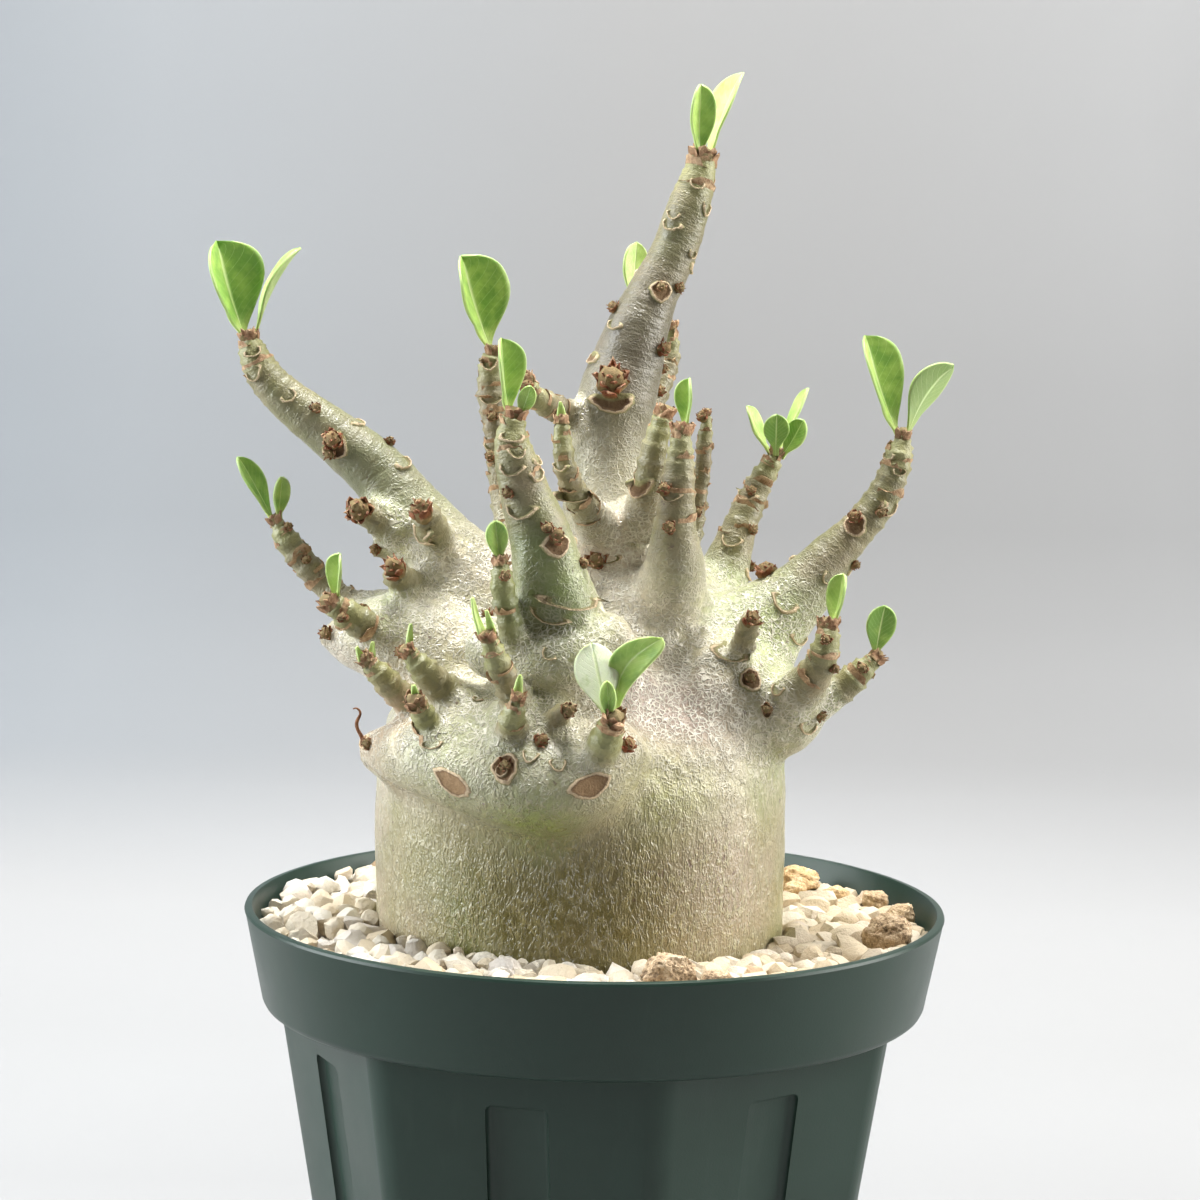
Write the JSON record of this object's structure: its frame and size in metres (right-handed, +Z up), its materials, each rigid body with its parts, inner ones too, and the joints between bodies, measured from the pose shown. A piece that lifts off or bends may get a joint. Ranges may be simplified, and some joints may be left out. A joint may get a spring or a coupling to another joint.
{
  "type": "potted desert rose",
  "caption": "Potted desert rose: a swollen, branching stem with tufts of young leaves, in a round-rimmed plastic nursery pot dressed with white pumice.",
  "frame": {"origin": "centre of the pot's underside", "axes": "+Z up, -Y towards the viewer's side of the picture, +X to the viewer's right"},
  "size_m": [0.1575, 0.15, 0.3008],
  "materials": {
    "pot": "dark green satin moulded plastic",
    "potting_mix": "loose dark bark and peat mix",
    "pumice": "dry white pumice grains",
    "ochre_stone": "rough ochre stone",
    "brown_stone": "rough porous brown stone",
    "stem": "silvery grey-green succulent bark",
    "leaf": "semi-gloss fleshy leaf"
  },
  "bodies": {
    "root": {"pot": "pot", "potting_mix": "potting_mix", "pumice_dressing": "pumice", "front_brown_chip": "brown_stone", "front_brown_stone": "brown_stone", "grey_brown_stone": "brown_stone", "ochre_stone_flat": "ochre_stone", "ochre_stone_large": "ochre_stone", "ochre_stone_small": "ochre_stone", "tan_stone_pointed": "ochre_stone", "tan_stone_round": "ochre_stone", "stem": "stem", "back_left_leaf": "leaf", "back_right_leaf_front": "leaf", "back_right_leaf_low": "leaf", "back_right_leaf_side": "leaf", "back_right_leaf_tall": "leaf", "back_trunk_leaf": "leaf", "big_right_leaf_side": "leaf", "big_right_leaf_wide": "leaf", "front_right_bract": "leaf", "front_right_leaf_green": "leaf", "front_right_leaf_pale": "leaf", "front_stem_leaf": "leaf", "front_stem_leaflet": "leaf", "inner_twig_leaf": "leaf", "left_front_leaf_a": "leaf", "left_front_leaf_b": "leaf", "left_inner_leaf": "leaf", "left_lower_leaf": "leaf", "left_stub_leaf": "leaf", "left_upper_leaf_long": "leaf", "left_upper_leaf_short": "leaf", "long_left_leaf_narrow": "leaf", "long_left_leaf_wide": "leaf", "low_middle_leaf_a": "leaf", "low_middle_leaf_b": "leaf", "middle_twig_leaf": "leaf", "rear_left_leaf_a": "leaf", "rear_left_leaf_b": "leaf", "rear_middle_leaf_a": "leaf", "rear_middle_leaf_b": "leaf", "rear_right_leaf": "leaf", "right_front_leaf": "leaf", "right_lower_leaf": "leaf", "right_upper_leaf": "leaf", "short_front_leaf": "leaf", "trunk_back_leaf": "leaf", "trunk_front_leaf": "leaf"}
  },
  "joints": []
}
